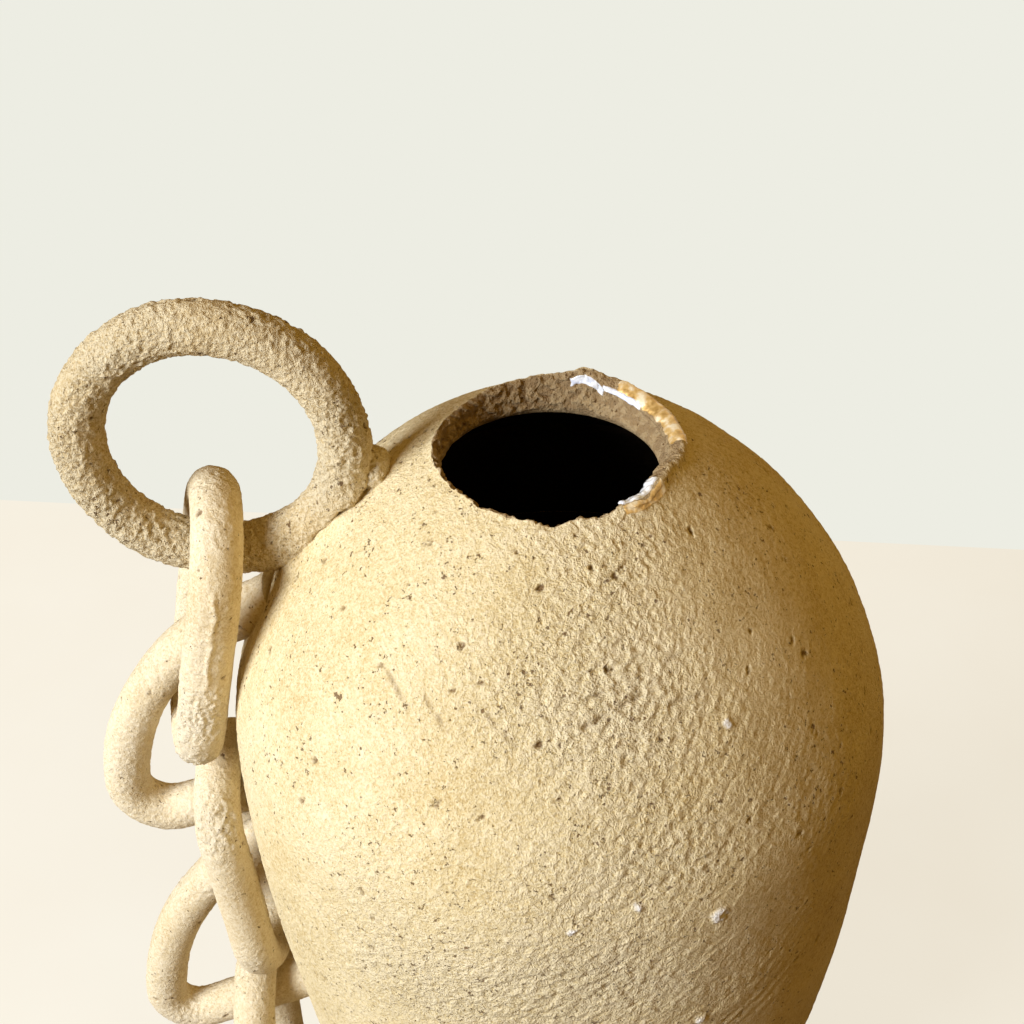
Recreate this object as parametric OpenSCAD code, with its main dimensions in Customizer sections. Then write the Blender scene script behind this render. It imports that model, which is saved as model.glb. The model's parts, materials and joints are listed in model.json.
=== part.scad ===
// Hand-built stoneware jar with a large coil ring on its shoulder, two drooping coil ears
// down the same side and three loose coil links threaded through them as a chain.
// Millimetres. The foot stands on z = 0, the jar's axis is Z and the chain is on the -X side.

/* [Jar] */
// Largest diameter, at the belly
belly_d = 150; // [120:1:190]
// Height of the belly above the foot
belly_z = 178; // [150:1:230]
// Height from the belly to where the shoulder curve would close
shoulder_rise = 76.4; // [62:0.1:95]
// Fullness of the shoulder curve: 2 is an ellipse, less is flatter
shoulder_power = 1.67; // [1.4:0.01:2.2]
// Depth below the belly where the taper curve would close
taper_depth = 244; // [200:1:300]
// Fullness of the taper curve
taper_power = 1.74; // [1.4:0.01:2.4]
// Thickness of the clay wall
wall = 6; // [4:0.1:8]
// Thickness of the foot slab
foot_t = 9; // [6:0.1:14]
// Height above the belly where the shoulder's two tiers meet
shoulder_split = 40; // [30:1:46]

/* [Mouth] */
// Diameter of the opening
mouth_d = 45; // [36:0.5:56]
// Thickness of the coil that finishes the lip
lip_d = 5.6; // [4:0.1:8]
// Height of the lip coil's centre line above its seat
lip_rise = 0.6; // [0:0.1:1.5]
// Thickness of the gilding and of the glaze on the lip
skin_t = 0.4; // [0.2:0.05:0.8]
// Turn from +X where the gilding starts
gilding_from = -14; // [-30:1:10]
// Turn that the gilding covers
gilding_turn = 80; // [40:1:100]
// Turn from +X where the glaze starts
glaze_from = -52; // [-80:1:-45]
// Turn that the glaze covers
glaze_turn = 26; // [10:1:30]

/* [Coils] */
// Thickness of the clay coil that the ring, ears and links are rolled from
coil_d = 11.4; // [9:0.1:14.5]
// Width of the band where one bend of an ear is pressed on to the next
joint_w = 2; // [1.5:0.1:2.5]
// How much wider than the coil that band is
joint_swell = 0.2; // [0.2:0.05:0.4]
// Gap between a loose link and the coil that it hangs on
hang_play = 0.4; // [0.3:0.05:1.5]
// Gap between the end of one link and the top of the next
chain_play = 0.9; // [0.5:0.05:3]

/* [Shoulder ring] */
// Diameter of the ring's centre line
ring_d = 55.6; // [46:0.1:68]
// Height of the ring's seat above the belly
ring_seat_z = 49.5; // [40:0.5:58]
// Depth that the ring is pressed into the shoulder
ring_sink = 3.9; // [2:0.1:5]
// Size of the clay wad pressed behind the ring's joint
wad_d = 13; // [9:0.5:18]

/* [Links] */
// Outer length of a loose link
link_l = 77; // [68:0.5:95]
// Room on each side of a coil that passes through a link
side_play = 3.4; // [2.5:0.1:5]
// How far out from the ring's lowest point the upper link hangs
upper_hang = 3.7; // [0:0.1:6]
// Turn of the upper link about its own length
upper_yaw = 12; // [0:1:20]
// Gap left between the upper link and the belly that it leans on
lean_play = 1.9; // [0.6:0.1:3]
// Lean of the middle link towards the wall
middle_lean = 4.5; // [0:0.5:6]

/* [Upper ear] */
// Direction of the arm where it leaves the wall, from +X towards +Z
upper_heading = 206; // [200:1:212]
// Radius of the arm's slow curve
upper_arm_r = 70; // [60:0.5:84]
// Angle of the arm's slow curve
upper_arm_turn = 58; // [50:1:64]
// Radius of the tight bend at the outer end
upper_bend_r = 9.5; // [8.5:0.1:13]
// Angle of the tight bend
upper_bend_turn = 115; // [108:1:122]
// Distance from the tight bend to where the middle link hangs
upper_ear_hang = 13; // [9:0.5:15]

/* [Lower ear] */
// Direction of the arm where it leaves the wall, from +X towards +Z
lower_heading = 216; // [208:1:224]
// Radius of the arm's slow curve
lower_arm_r = 90; // [76:0.5:108]
// Angle of the arm's slow curve
lower_arm_turn = 48; // [40:1:54]
// Radius of the tight bend at the outer end
lower_bend_r = 8; // [7.5:0.1:12]
// Angle of the tight bend
lower_bend_turn = 121; // [114:1:128]
// Distance from the tight bend to where the lower link hangs
lower_ear_hang = 17; // [9:0.5:20]

/* [Hidden] */
$fn = 96;
tier_steps = 6;
wall_tiers = 3;
clay = "BurlyWood";
pale_clay = "Wheat";

belly_r = belly_d / 2;
coil_r = coil_d / 2;
ring_r = ring_d / 2;
mouth_r = mouth_d / 2;
lip_r = mouth_r + lip_d;
inner_r = belly_r - wall;
inner_rise = shoulder_rise - wall;

// A curve that starts upright at radius r and closes after the given rise
function curve_r(r, rise, power, z) = r * pow(1 - pow(z / rise, power), 1 / power);
function curve_z(r, rise, power, at) = rise * pow(1 - pow(at / r, power), 1 / power);

// Radius of the jar's outside at height h above the belly
function wall_r(h) = h >= 0
    ? curve_r(belly_r, shoulder_rise, shoulder_power, h)
    : curve_r(belly_r, taper_depth, taper_power, -h);

// Points of one tier of a shoulder curve, between two heights above the belly, closer together where it turns in
function shoulder_points(r, rise, bottom, top) =
    let(
        first = asin(pow(bottom / rise, shoulder_power / 2)),
        last = asin(pow(top / rise, shoulder_power / 2)))
    [for (i = [0:tier_steps])
        let(h = rise * pow(sin(first + (last - first) * i / tier_steps), 2 / shoulder_power))
        [curve_r(r, rise, shoulder_power, h), belly_z + h]];

// Points of one tier of the taper, counted from 1 at the foot, set in from the outside by inset
function taper_points(tier, inset) =
    [for (i = [0:tier_steps])
        let(z = foot_t + (belly_z - foot_t) * (tier - 1 + i / tier_steps) / wall_tiers)
        [wall_r(z - belly_z) - inset, z]];

function reversed(points) = [for (i = [len(points) - 1:-1:0]) points[i]];
function after_first(points) = [for (i = [1:len(points) - 1]) points[i]];

// The lip sits where the shoulder is as wide as the lip coil
lip_seat = curve_z(belly_r, shoulder_rise, shoulder_power, lip_r);
mouth_under = curve_z(inner_r, inner_rise, shoulder_power, mouth_r);

// The ring stands on the shoulder, square to it, in the plane y = 0
ring_seat_r = wall_r(ring_seat_z);
ring_slope = atan2(
    pow(ring_seat_z, shoulder_power - 1) / pow(shoulder_rise, shoulder_power),
    pow(ring_seat_r, shoulder_power - 1) / pow(belly_r, shoulder_power));
ring_reach = ring_r + coil_r - ring_sink;
ring_x = -ring_seat_r - ring_reach * cos(ring_slope);
ring_h = ring_seat_z + ring_reach * sin(ring_slope);

// Half the distance between a link's two legs, on their centre lines
leg_y = coil_d + side_play;

// The upper link hangs on the ring and leans out over the belly
upper_tilt = asin(upper_hang / ring_r);
upper_x = ring_x - upper_hang;
upper_h = ring_h - ring_r * cos(upper_tilt);
lean_r = belly_r + coil_r + lean_play;
lean_x = sqrt(pow(lean_r, 2) - pow(leg_y * cos(upper_yaw), 2)) + leg_y * sin(upper_yaw);
upper_lean = atan2(lean_x + upper_x, upper_h);

// Height of a link's top centre line over the coil it hangs on, which slopes by tilt
function lift(tilt) = (coil_d + hang_play) / cos(tilt);
// How far a link reaches below the coil it hangs on
function drop(tilt) = link_l - lift(tilt) - coil_r;
// The next link's coil lies this far below the one before
function pitch(tilt, lean, next_tilt) =
    drop(tilt) * cos(lean) + chain_play + lift(next_tilt) + coil_r;

// An ear is a run of steps, each [length, turn], walked in the plane y = 0
function arc(r, turn) = [r * turn * PI / 180, turn];
function ear_steps(arm_r, arm_turn, bend_r, bend_turn) = [arc(arm_r, arm_turn), arc(bend_r, bend_turn)];
// Place [x, z, heading] after the first count steps, which are all arcs
function walk(steps, heading, count) = count == 0
    ? [0, 0, heading]
    : let(
        p = walk(steps, heading, count - 1),
        turn = steps[count - 1][1],
        r = steps[count - 1][0] * 180 / (PI * turn),
        a = p[2])
    [p[0] + r * (sin(a + turn) - sin(a)), p[1] + r * (cos(a) - cos(a + turn)), a + turn];

upper_steps = ear_steps(upper_arm_r, upper_arm_turn, upper_bend_r, upper_bend_turn);
upper_end = walk(upper_steps, upper_heading, len(upper_steps));
upper_ear_tilt = upper_end[2] - 360;
lower_steps = ear_steps(lower_arm_r, lower_arm_turn, lower_bend_r, lower_bend_turn);
lower_end = walk(lower_steps, lower_heading, len(lower_steps));
lower_ear_tilt = lower_end[2] - 360;

// Heights of the coils that carry the middle and lower links, and the ears' seats on the wall
middle_h = upper_h - pitch(upper_tilt, upper_lean, upper_ear_tilt);
upper_ear_h = middle_h - upper_end[1] - upper_ear_hang * sin(upper_ear_tilt);
upper_ear_x = -wall_r(upper_ear_h);
middle_x = upper_ear_x + upper_end[0] + upper_ear_hang * cos(upper_ear_tilt);
lower_h = middle_h - pitch(upper_ear_tilt, middle_lean, lower_ear_tilt);
lower_ear_h = lower_h - lower_end[1] - lower_ear_hang * sin(lower_ear_tilt);
lower_ear_x = -wall_r(lower_ear_h);
lower_x = lower_ear_x + lower_end[0] + lower_ear_hang * cos(lower_ear_tilt);

// The jar's outside, filled, which the ring and ears are cut to
module jar_outside() {
    outline = concat(
        [[0, 0], [wall_r(-belly_z), 0], taper_points(1, 0)[0]],
        [for (tier = [1:wall_tiers]) each after_first(taper_points(tier, 0))],
        after_first(shoulder_points(belly_r, shoulder_rise, 0, shoulder_split)),
        after_first(shoulder_points(belly_r, shoulder_rise, shoulder_split, lip_seat)),
        [[0, belly_z + lip_seat]]);
    rotate_extrude() polygon(outline);
}

// A coil of clay laid along steps from the origin, starting along +X and turning towards +Y.
// Where two steps meet it is pressed together in a narrow band of diameter joint_d.
module coil(steps, joint_d = 0, first = 0) {
    if (first < len(steps)) {
        run = steps[first][0];
        turn = steps[first][1];
        if (first > 0 && joint_d > 0) rotate([0, 90, 0]) cylinder(d = joint_d, h = joint_w, center = true);
        if (turn == 0) {
            rotate([0, 90, 0]) cylinder(d = coil_d, h = run);
            translate([run, 0, 0]) coil(steps, joint_d, first + 1);
        } else {
            r = run * 180 / (PI * turn);
            translate([0, r, 0]) {
                rotate([0, 0, -90]) rotate_extrude(angle = turn) translate([r, 0]) circle(d = coil_d);
                rotate([0, 0, turn]) translate([0, -r, 0]) coil(steps, joint_d, first + 1);
            }
        }
    }
}

// An ear from its seat on the wall, out along its steps and back to the wall
module ear(x, h, heading, steps) {
    root = [[coil_d, 0]];
    back = [[belly_r, 0]];
    difference() {
        translate([x, 0, belly_z + h])
            rotate([90, 0, 0])
                rotate(heading)
                    translate([-coil_d, 0, 0]) coil(concat(root, steps, back), coil_d + joint_swell);
        jar_outside();
    }
}

// A closed link in the plane x = 0, hung on a coil through the origin that slopes by tilt
module link(tilt) {
    legs = link_l - coil_d - 2 * leg_y;
    steps = [[legs, 0], arc(leg_y, 180), [legs, 0], arc(leg_y, 180)];
    translate([0, -leg_y, lift(tilt) - leg_y])
        rotate([0, 90, 0])
            coil(steps);
}

// The lip coil's round section thickened by skin, above its flat seat
module lip_section(skin) {
    intersection() {
        translate([mouth_r + lip_d / 2, belly_z + lip_seat + lip_rise]) circle(d = lip_d + 2 * skin);
        translate([0, belly_z + lip_seat]) square([belly_r, 2 * lip_d]);
    }
}

// A skin on the lip coil, from a turn about the axis
module lip_skin(from, turn) {
    rotate(from)
        rotate_extrude(angle = turn)
            difference() {
                lip_section(skin_t);
                lip_section(0);
            }
}

module foot_slab() {
    color(clay)
        rotate_extrude()
            polygon([[0, 0], [wall_r(-belly_z), 0], [wall_r(foot_t - belly_z), foot_t], [0, foot_t]]);
}

// One tier of coils below the belly, counted from the foot
module wall_tier(tier) {
    color(clay)
        rotate_extrude()
            polygon(concat(taper_points(tier, 0), reversed(taper_points(tier, wall))));
}

// The shoulder's lower tier, on the belly
module shoulder_tier_1() {
    color(clay)
        rotate_extrude()
            polygon(concat(
                shoulder_points(belly_r, shoulder_rise, 0, shoulder_split),
                reversed(shoulder_points(inner_r, inner_rise, 0, shoulder_split))));
}

// The shoulder's upper tier, in to the mouth
module shoulder_tier_2() {
    color(clay)
        rotate_extrude()
            polygon(concat(
                shoulder_points(belly_r, shoulder_rise, shoulder_split, lip_seat),
                [[mouth_r, belly_z + lip_seat]],
                reversed(shoulder_points(inner_r, inner_rise, shoulder_split, mouth_under))));
}

module lip_coil() {
    color("Peru") rotate_extrude() lip_section(0);
}

module lip_gilding() {
    color("DarkGoldenrod") lip_skin(gilding_from, gilding_turn);
}

module lip_glaze() {
    color("WhiteSmoke") lip_skin(glaze_from, glaze_turn);
}

module ring_coil() {
    translate([ring_x, 0, belly_z + ring_h])
        rotate([90, 0, 0])
            rotate_extrude() translate([ring_r, 0]) circle(d = coil_d);
}

module shoulder_ring() {
    color(clay)
        difference() {
            ring_coil();
            jar_outside();
        }
}

// The wad fills the corner between the ring's upper end and the shoulder
module ring_wad() {
    edge_r = ring_r + coil_r;
    edge_turn = acos(ring_reach / edge_r) - ring_slope;
    edge = [ring_x + edge_r * cos(edge_turn), coil_r / 2, belly_z + ring_h + edge_r * sin(edge_turn)];
    color(clay)
        difference() {
            translate(edge) sphere(d = wad_d);
            ring_coil();
            jar_outside();
        }
}

module upper_ear() {
    color(pale_clay) ear(upper_ear_x, upper_ear_h, upper_heading, upper_steps);
}

module lower_ear() {
    color(pale_clay) ear(lower_ear_x, lower_ear_h, lower_heading, lower_steps);
}

module upper_link() {
    color(pale_clay)
        translate([upper_x, 0, belly_z + upper_h])
            rotate([0, upper_lean, 0]) rotate(upper_yaw) link(upper_tilt);
}

module middle_link() {
    color(pale_clay)
        translate([middle_x, 0, belly_z + middle_h])
            rotate([0, -middle_lean, 0]) link(upper_ear_tilt);
}

module lower_link() {
    color(pale_clay)
        translate([lower_x, 0, belly_z + lower_h]) link(lower_ear_tilt);
}

foot_slab();
for (tier = [1:wall_tiers]) wall_tier(tier);
shoulder_tier_1();
shoulder_tier_2();
lip_coil();
lip_gilding();
lip_glaze();
shoulder_ring();
ring_wad();
upper_ear();
lower_ear();
upper_link();
middle_link();
lower_link();
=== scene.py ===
# %% [markdown]
# # A hand-built stoneware jar with a clay chain
# The jar is coiled from coarse clay with crushed fired grit in it, called grog. One shoulder carries a
# thick ring, and loose clay links hang from it through two drooping ears. The frame holds every piece as
# a plain solid at its real size. This lesson gives each piece the surface that hands, scrapers and the
# kiln left on it: lumps, grit, pits and scrapes as real geometry, and finer grit in the material.

# %% Load the frame
import json
import math
import bpy
import bmesh
import numpy as np
from mathutils import Matrix, Vector


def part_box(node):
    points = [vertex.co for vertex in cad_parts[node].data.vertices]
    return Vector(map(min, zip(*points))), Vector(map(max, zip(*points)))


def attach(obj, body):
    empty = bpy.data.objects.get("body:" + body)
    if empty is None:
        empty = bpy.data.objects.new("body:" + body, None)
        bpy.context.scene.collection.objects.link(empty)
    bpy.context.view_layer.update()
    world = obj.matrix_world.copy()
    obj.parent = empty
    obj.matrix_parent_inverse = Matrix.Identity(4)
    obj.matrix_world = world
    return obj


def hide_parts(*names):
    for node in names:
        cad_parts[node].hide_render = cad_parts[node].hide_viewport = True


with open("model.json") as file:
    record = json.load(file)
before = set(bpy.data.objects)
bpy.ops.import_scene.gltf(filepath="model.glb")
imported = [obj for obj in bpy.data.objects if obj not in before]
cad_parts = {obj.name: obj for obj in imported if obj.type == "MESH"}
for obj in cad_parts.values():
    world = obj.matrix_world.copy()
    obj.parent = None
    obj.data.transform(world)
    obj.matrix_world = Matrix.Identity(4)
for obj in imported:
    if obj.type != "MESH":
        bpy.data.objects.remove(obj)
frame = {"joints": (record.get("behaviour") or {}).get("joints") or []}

MM = 0.001
scene = bpy.context.scene
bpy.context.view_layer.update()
joints = {joint["name"]: joint for joint in frame["joints"]}

# %% [markdown]
# ## Random fields
# Clay is never smooth, and its roughness has several sizes at once. Two random fields give them all.
# The first is smooth noise, a random slope at each corner of a lattice, for lumps and dents. The second
# finds the nearest of many scattered points, for grains and pits. Both are worked out for whole arrays of
# points, and both mix whole numbers in a fixed way, so that every run gives the same jar.

# %% Random numbers on a lattice
def scramble(cell, seed):
    """One 32-bit whole number per lattice cell: the three indices are multiplied, mixed and folded."""
    c = (cell + 100000).astype(np.uint64)
    h = c[..., 0] * np.uint64(73856093) ^ c[..., 1] * np.uint64(19349663) ^ c[..., 2] * np.uint64(83492791)
    h = (h + np.uint64(seed * 2654435)) & np.uint64(0xFFFFFFFF)
    for fold in (2246822519, 3266489917):
        h = ((h ^ (h >> np.uint64(15))) * np.uint64(fold)) & np.uint64(0xFFFFFFFF)
    return h ^ (h >> np.uint64(16))


def three_parts(h):
    """Three numbers from 0 to 1 out of each whole number, ten bits each."""
    return np.stack([(h >> np.uint64(bits) & np.uint64(1023)) / 1023.0 for bits in (0, 10, 20)], -1)


print("random numbers of one cell:", three_parts(scramble(np.array([[1, 2, 3]]), 1)).round(3))

# %% Smooth noise and nearest points
def noise(p, size, seed):
    """Smooth random field from about -1 to 1: slopes at the corners of cells as wide as size, blended by
    6t^5 - 15t^4 + 10t^3 along each side, times 1.7 to fill that range."""
    q = p / size
    cell = np.floor(q).astype(np.int64)
    f = q - cell
    w = f * f * f * (f * (f * 6 - 15) + 10)
    total = np.zeros(p.shape[:-1])
    for corner in np.ndindex(2, 2, 2):
        c = np.array(corner)
        slope = 2 * three_parts(scramble(cell + c, seed)) - 1
        share = np.prod(np.where(c == 1, w, 1 - w), -1)
        total += share * ((f - c) * slope).sum(-1)
    return 1.7 * total


def nearest_point(p, size, seed):
    """Distance in mm to the nearest of one random point per cell as wide as size, and that point's own
    random number from 0 to 1."""
    q = p / size
    cell = np.floor(q).astype(np.int64)
    best = np.full(p.shape[:-1], 9.0)
    own = np.zeros(p.shape[:-1])
    for step in np.ndindex(3, 3, 3):
        c = cell + np.array(step) - 1
        h = scramble(c, seed)
        d = ((q - c - three_parts(h)) ** 2).sum(-1)
        near = d < best
        best = np.where(near, d, best)
        own = np.where(near, (h >> np.uint64(8) & np.uint64(255)) / 255.0, own)
    return np.sqrt(best) * size, own


def shaken(p, reach, size, seed):
    """Points moved by up to about reach along X and Z by smooth noise, which makes round spots ragged."""
    push = np.stack([noise(p, size, seed), 0 * p[..., 0], noise(p, size, seed + 1)], -1)
    return p + reach * push


print("noise at a test point:", round(float(noise(np.array([[1.5, 2.5, 3.5]]), 4.0, 1)[0]), 4))

# %% Curves between 0 and 1
def hill(x, middle, width):
    """A smooth hill of height 1: e to the power of minus the squared distance in widths."""
    return np.exp(-((x - middle) / width) ** 2)


def ramp(x, start, end):
    """0 before start, 1 after end, and the curve 3t^2 - 2t^3 between them."""
    t = np.clip((x - start) / (end - start), 0, 1)
    return t * t * (3 - 2 * t)


print("hill and ramp at a quarter:", round(float(hill(0.25, 0, 1)), 3), round(float(ramp(0.25, 0, 1)), 3))

# %% [markdown]
# ## From a grid of points to a piece
# Every piece here is a grid: rows go round or along it, columns go across it. Neighbouring points make
# four-sided faces, and the last row or column joins the first where the piece is closed. The points of a
# row that have run together, as at a pole, are merged, so that no face is left without area. Where two
# pieces meet in one smooth surface, both are given the normals of that surface, so no seam shows.

# %% Normals of a grid
def grid_normals(grid):
    """Unit normals: the cross product of the steps to the next row and to the next column. Rows close on
    themselves and columns do not."""
    along = np.roll(grid, -1, 0) - np.roll(grid, 1, 0)
    across = np.gradient(grid, axis=1)
    normal = np.cross(along, across)
    return normal / np.maximum(np.linalg.norm(normal, axis=-1, keepdims=True), 1e-12)


# %% Make a piece
merge_mm = 0.002


def add_piece(name, grid, body, replaced, materials, wrap=(True, True), fields=None, normals=None,
              second_from=None):
    """A mesh from a grid of points in mm, of shape rows by columns by 3. wrap says whether rows and
    columns close on themselves. fields are named numbers, one per point, which the material reads. Faces
    from the column second_from onwards take the second material."""
    rows, columns = grid.shape[:2]
    i, j = np.meshgrid(np.arange(rows - (not wrap[0])), np.arange(columns - (not wrap[1])), indexing="ij")
    near, far = i * columns, (i + 1) % rows * columns
    left, right = j, (j + 1) % columns
    corners = np.stack([near + left, far + left, far + right, near + right], -1).reshape(-1)
    mesh = bpy.data.meshes.new(name)
    mesh.vertices.add(rows * columns)
    mesh.vertices.foreach_set("co", (grid * MM).astype(np.float32).ravel())
    mesh.loops.add(len(corners))
    mesh.loops.foreach_set("vertex_index", corners.astype(np.int32))
    mesh.polygons.add(len(corners) // 4)
    mesh.polygons.foreach_set("loop_start", np.arange(0, len(corners), 4, dtype=np.int32))
    for material in materials:
        mesh.materials.append(material)
    if second_from is not None:
        mesh.polygons.foreach_set("material_index", (j >= second_from).astype(np.int32).ravel())
    for field, values in (fields or {}).items():
        layer = mesh.attributes.new(field, "FLOAT", "POINT")
        layer.data.foreach_set("value", np.asarray(values, np.float32).ravel())
    mesh.update(calc_edges=True)
    tidy = bmesh.new()
    tidy.from_mesh(mesh)
    bmesh.ops.remove_doubles(tidy, verts=tidy.verts, dist=merge_mm * MM)
    bmesh.ops.recalc_face_normals(tidy, faces=tidy.faces)
    tidy.to_mesh(mesh)
    tidy.free()
    mesh.polygons.foreach_set("use_smooth", np.ones(len(mesh.polygons), bool))
    if normals is not None:
        mesh.normals_split_custom_set_from_vertices(normals.reshape(-1, 3).tolist())
    piece = bpy.data.objects.new(name, mesh)
    scene.collection.objects.link(piece)
    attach(piece, body)
    if replaced:
        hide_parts(*replaced)
    print(f"{name}: {2 * len(mesh.polygons)} triangles")


print("points closer than", merge_mm, "mm are merged")

# %% [markdown]
# ## Materials
# Unglazed stoneware is matt: its grains scatter light evenly, so it has high roughness and a weak
# highlight. What makes it look like clay is its grit. The mesh carries grains and pits that are wider than
# about 1.5 mm, and the material adds finer ones as bump. The fields stored on each mesh tell the material
# where a pit, a pale chip, rough clay or raw clay is, so that colour and shape agree; pits get painted
# shade.

# %% Colours and a node helper
def linear(hex_colour):
    """Linear red, green, blue and alpha from an sRGB hex colour."""
    s = np.array([int(hex_colour[i:i + 2], 16) for i in (1, 3, 5)]) / 255
    values = np.where(s <= 0.04045, s / 12.92, ((s + 0.055) / 1.055) ** 2.4)
    return (*values.tolist(), 1.0)


def node(tree, kind, settings=None, **inputs):
    """Adds a node and gives its output sockets. kind is its type, without ShaderNode. settings are its own
    properties, and stops, for a colour ramp, are pairs of a place from 0 to 1 and a hex colour. inputs are
    values or other nodes' sockets, with underscores for spaces in a socket's name, or in_0, in_1 for its
    place."""
    made = tree.nodes.new("ShaderNode" + kind)
    settings = dict(settings or {})
    stops = settings.pop("stops", None)
    for key, value in settings.items():
        setattr(made, key, value)
    if stops:
        elements = made.color_ramp.elements
        elements[0].position, elements[1].position = stops[0][0], stops[-1][0]
        for place, _ in stops[1:-1]:
            elements.new(place)
        for element, (_, colour) in zip(elements, stops):
            element.color = linear(colour)
    for key, value in inputs.items():
        socket = made.inputs[int(key[3:]) if key.startswith("in_") else key.replace("_", " ")]
        if isinstance(value, bpy.types.NodeSocket):
            tree.links.new(value, socket)
        else:
            socket.default_value = value
    return made.outputs


def blank_material(name):
    """A node material with nothing in it, and its tree."""
    material = bpy.data.materials.new(name)
    material.use_nodes = True
    material.node_tree.nodes.clear()
    return material, material.node_tree


def per_metre(size_mm):
    """Texture scale that gives features about size_mm wide on coordinates in metres."""
    return 1 / (size_mm * MM)


times, highest = {"operation": "MULTIPLY"}, {"operation": "MAXIMUM"}
times_plus = {"operation": "MULTIPLY_ADD"}
colours, smooth = {"data_type": "RGBA"}, {"interpolation_type": "SMOOTHSTEP"}
print("scale for grains 0.5 mm wide:", per_metre(0.5))

# %% [markdown]
# ### Grogged stoneware
# Buff clay with fired grit of up to 2 mm, scraped and left bare. To the eye it is a warm sand colour with
# paler rubbed grains, darker hollows and ragged deep brown pin-holes. The colour carries painted shade in
# hollows, pits and pin-holes, and painted highlight and shade on the grains, on top of their own tone. One
# function makes the body, the ring, the smoother links and the inside, which differ in colour and in how
# coarse they are; the inside's near-black colour is painted shade.

# %% Clay material
def clay_material(name, tones, crumb_mm, depth_mm, speck_mm, speck_from):
    """Colour runs through tones, from deep to pale, by clouds 24 mm wide, crumbs and sand. Raised crumbs and
    sand grains are paler and the gaps between them deeper: partly the grit's own tone, partly painted
    highlight and shade. Crumbs are noise crumb_mm wide, cut to flat tops with steep sides. Dark specks are
    the peaks, above speck_from, of noise speck_mm wide. The mesh's fields roughen the clay, give pits
    painted shade, whiten chips and brown raw clay; specks and pits share one deep brown, partly the specks'
    own colour and partly painted shade. Bump lifts crumbs and sand by depth_mm and sinks the specks."""
    material, tree = blank_material(name)
    place = node(tree, "TexCoord")["Object"]
    rough, pit, chip, raw = (node(tree, "Attribute", {"attribute_name": key})["Fac"]
                             for key in ("rough", "pit", "chip", "raw"))
    # Each noise has its size in mm, its own W, which sets its pattern, and its detail.
    sizes = ((24, 0.3, 3), (0.5, 1.7, 3), (crumb_mm, 3.1, 3), (9, 5.9, 1), (speck_mm, 7.3, 3))
    cloud, sand, crumb, patch, speck = (
        node(tree, "TexNoise", {"noise_dimensions": "4D"}, Vector=place, W=own,
             Scale=per_metre(size), Detail=detail, Roughness=0.68)["Fac"] for size, own, detail in sizes)
    crumb = node(tree, "MapRange", smooth, Value=crumb, From_Min=0.38, From_Max=0.64)[0]
    sand = node(tree, "Math", times_plus, in_0=sand, in_1=1.0, in_2=-0.5)[0]
    # Raised crumbs and sand grains are paler and the gaps between them deeper in tone: partly the grit's own
    # tone, partly painted highlight and shade, stronger on rough clay.
    grain_tone_and_painted_light = node(tree, "Math", times_plus, in_0=rough, in_1=0.8, in_2=0.6)[0]
    tone = 0.18
    for part, weight in ((rough, 0.14), (crumb, 0.14), (sand, grain_tone_and_painted_light), (cloud, 0.42)):
        tone = node(tree, "Math", times_plus, in_0=part, in_1=weight, in_2=tone)[0]
    stops = list(zip((0.26, 0.47, 0.66), tones))
    base = node(tree, "ValToRGB", {"stops": stops}, Fac=tone)[0]
    level = speck
    for part, weight in ((patch, 0.16), (rough, 0.012)):
        level = node(tree, "Math", times_plus, in_0=part, in_1=weight, in_2=level)[0]
    hole = node(tree, "MapRange", smooth, Value=level, From_Min=speck_from,
                From_Max=speck_from + 0.035)[0]
    # Specks and the pit field share one deep brown: partly the specks' own colour, partly painted shade in
    # the pits, grooves, crack and hollows that the fields mark.
    speck_colour_and_pit_shade = node(tree, "Math", highest, in_0=hole, in_1=pit)[0]
    speck_colour_and_pit_shade = node(tree, "Math", times, in_0=speck_colour_and_pit_shade, in_1=0.82)[0]
    for share, colour in ((raw, "#A3855B"), (speck_colour_and_pit_shade, "#6B4822"), (chip, "#F4EEE2")):
        base = node(tree, "Mix", colours, in_0=share, in_6=base, in_7=linear(colour))[2]
    height = node(tree, "Math", times, in_0=crumb, in_1=0.8)[0]
    height = node(tree, "Math", times_plus, in_0=sand, in_1=2.2, in_2=height)[0]
    lift = node(tree, "Math", times_plus, in_0=rough, in_1=0.55, in_2=0.28)[0]
    height = node(tree, "Math", times, in_0=height, in_1=lift)[0]
    height = node(tree, "Math", times_plus, in_0=hole, in_1=-0.9, in_2=height)[0]
    bump = node(tree, "Bump", Height=height, Strength=1.0, Distance=depth_mm * MM)
    shader = node(tree, "BsdfPrincipled", Base_Color=base, Roughness=0.9, IOR=1.5,
                  Specular_IOR_Level=0.1, Normal=bump["Normal"])
    node(tree, "OutputMaterial", Surface=shader["BSDF"])
    return material


body_clay = clay_material("grogged_stoneware_scraped", ("#BD9E62", "#E1CC99", "#F0DEB4"),
                          crumb_mm=0.9, depth_mm=0.36, speck_mm=1.2, speck_from=0.718)
ring_clay = clay_material("grogged_stoneware_coarse", ("#A98A57", "#D0B888", "#E4D2AA"),
                          crumb_mm=0.9, depth_mm=0.40, speck_mm=1.2, speck_from=0.724)
link_clay = clay_material("grogged_stoneware_smoothed", ("#C6AB78", "#E2CFA6", "#ECDDBC"),
                          crumb_mm=1.0, depth_mm=0.24, speck_mm=1.3, speck_from=0.752)
# The inside's near-black colour is painted shade, for the depth of the jar where little light reaches.
inside_shade_clay = clay_material("stoneware_inside_painted_shade", ("#1E150C", "#2A1D11", "#382818"),
                           crumb_mm=2.0, depth_mm=0.3, speck_mm=2.0, speck_from=0.80)
print("clay materials:", body_clay.name, ring_clay.name, link_clay.name, inside_shade_clay.name)

# %% [markdown]
# ### Gold lustre and white glaze
# Lustre is a very thin film of metal fired on to the lip. It takes the clay's grain, so it shines in a
# broken, satin way. The white glaze is a pool of glass with a clear top coat, and it is smooth.

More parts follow.
